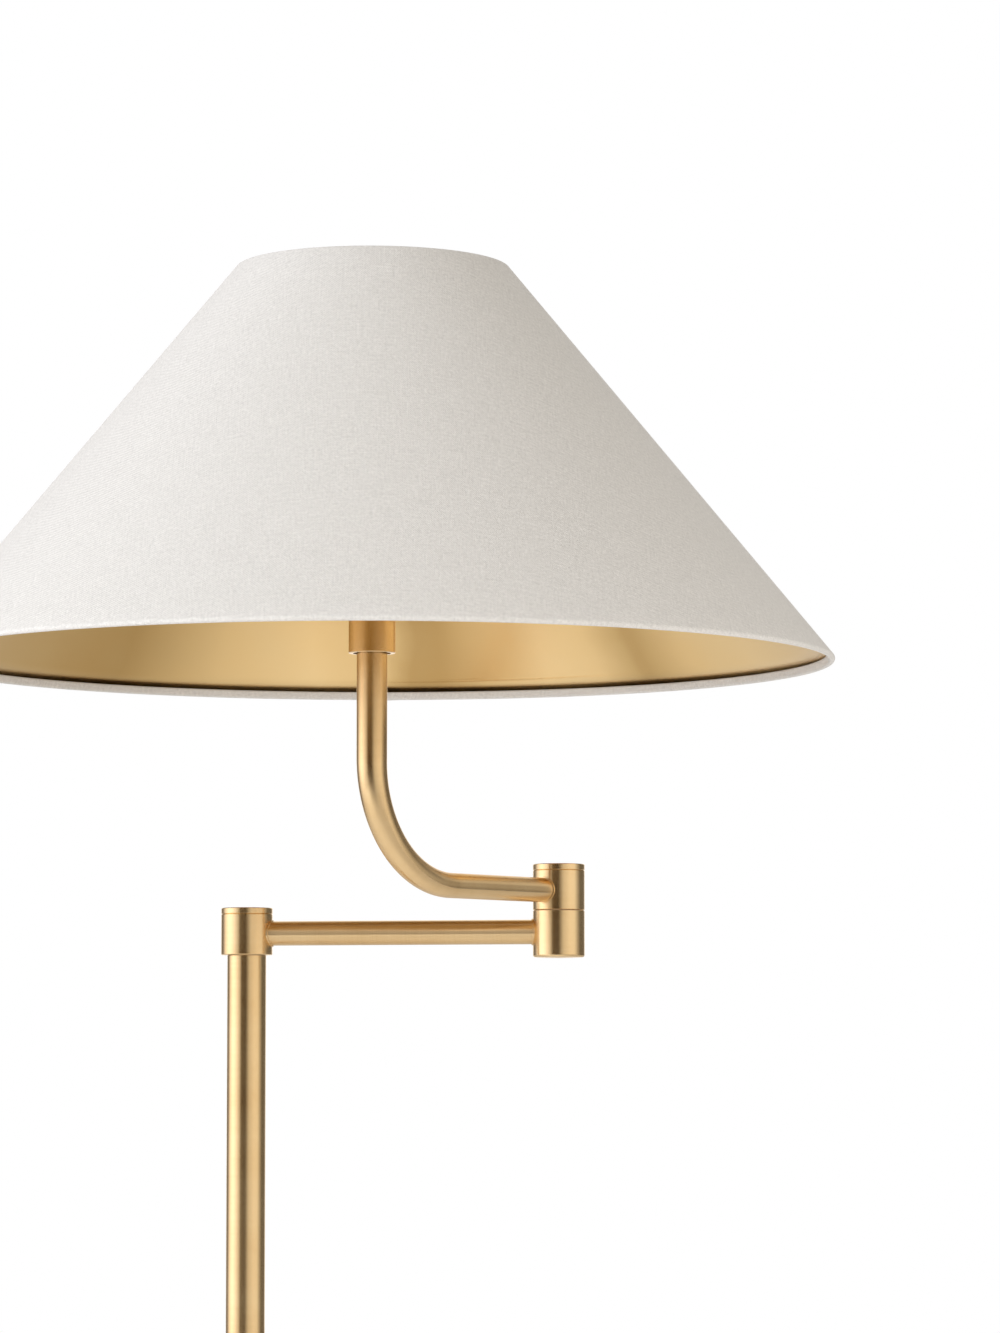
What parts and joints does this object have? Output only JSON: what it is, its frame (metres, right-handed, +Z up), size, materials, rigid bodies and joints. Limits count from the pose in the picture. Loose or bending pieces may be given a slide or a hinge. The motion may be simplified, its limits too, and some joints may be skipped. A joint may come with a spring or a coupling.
{
  "type": "swing arm wall sconce",
  "caption": "Wall lamp with a swinging elbowed brass arm on a round post, a wide cone shade of pale linen with a gold lining, and a round wall canopy.",
  "frame": {"origin": "centre of the two junction box slots, on the wall plane", "axes": "+Z up, +Y into the wall, the room is towards -Y, +X to the right of a person who faces the wall"},
  "size_m": [0.4592, 0.4753, 0.668],
  "materials": {
    "satin_brass": "satin, brushed along each tube",
    "plated_steel": "zinc plated",
    "green_screw": "green dyed zinc plate",
    "nylon": "natural nylon, dark",
    "lead_insulation": "soft vinyl",
    "connector_plastic": "moulded",
    "phenolic": "moulded phenolic",
    "fibre_liner": "vulcanised fibre",
    "shell_metal": "rolled thread",
    "frosted_glass": "inside frosted",
    "linen": "plain weave linen over stiff backing",
    "gold_lining": "metallised film, satin"
  },
  "bodies": {
    "wall_mount": {"wall_crossbar": "plated_steel", "canopy_studs": "plated_steel", "canopy_cap_nuts": "satin_brass", "ground_screw": "green_screw", "canopy": "satin_brass", "backing_plate": "plated_steel", "bracket_stem": "satin_brass", "stem_collar": "satin_brass", "stem_locknut": "plated_steel", "post_hub": "satin_brass", "hub_set_screws": "plated_steel", "hub_bottom_cap": "satin_brass", "post": "satin_brass", "post_top_plug": "satin_brass", "supply_conductors": "lead_insulation", "wire_connectors": "connector_plastic", "shoulder_stop_washer": "plated_steel", "shoulder_spring_washer": "plated_steel", "shoulder_nut": "plated_steel", "shoulder_pivot": "plated_steel", "shoulder_thrust_washer": "nylon", "post_lead": "lead_insulation"},
    "lower_arm": {"shoulder_housing": "satin_brass", "shoulder_cap": "satin_brass", "shoulder_stop_pin": "plated_steel", "lower_arm_tube": "satin_brass", "elbow_lower_housing": "satin_brass", "elbow_pivot_plate": "satin_brass", "elbow_stop_washer": "plated_steel", "elbow_spring_washer": "plated_steel", "elbow_nuts": "plated_steel", "elbow_pivot": "plated_steel", "elbow_thrust_washer": "nylon", "lower_arm_lead": "lead_insulation"},
    "upper_arm": {"bulb_glass": "frosted_glass", "bulb_screw_base": "shell_metal", "elbow_cap": "satin_brass", "elbow_stop_pin": "plated_steel", "elbow_upper_housing": "satin_brass", "harp": "satin_brass", "harp_saddle": "satin_brass", "harp_sleeves": "satin_brass", "lampholder_cap": "satin_brass", "lampholder_contact": "shell_metal", "lampholder_liner": "fibre_liner", "lampholder_screw_shell": "shell_metal", "lampholder_shell": "satin_brass", "lampholder_switch_block": "phenolic", "shade_bottom_hem": "linen", "shade_bottom_ring": "plated_steel", "shade_fabric": "linen", "shade_finial": "satin_brass", "shade_lining": "gold_lining", "shade_spider": "satin_brass", "shade_top_hem": "linen", "socket_collar": "satin_brass", "socket_nipple": "plated_steel", "upper_arm_lead": "lead_insulation", "upper_arm_tube": "satin_brass"},
    "switch_knob": {"switch_knob": "phenolic"}
  },
  "joints": [
    {"name": "shoulder_swivel", "type": "hinge", "parent": "wall_mount", "child": "lower_arm", "pos_m": [0, -0.105, 0.2821], "axis": [0, 0, 1], "range_deg": [-170, 10]},
    {"name": "elbow_swivel", "type": "hinge", "parent": "lower_arm", "child": "upper_arm", "pos_m": [0.16269, -0.13369, 0.2929], "axis": [0, 0, 1], "range_deg": [-45, 285]},
    {"name": "switch_turn", "type": "hinge", "parent": "upper_arm", "child": "switch_knob", "pos_m": [0.06868, -0.24572, 0.4455], "axis": [0, -1, 0], "continuous": true}
  ]
}
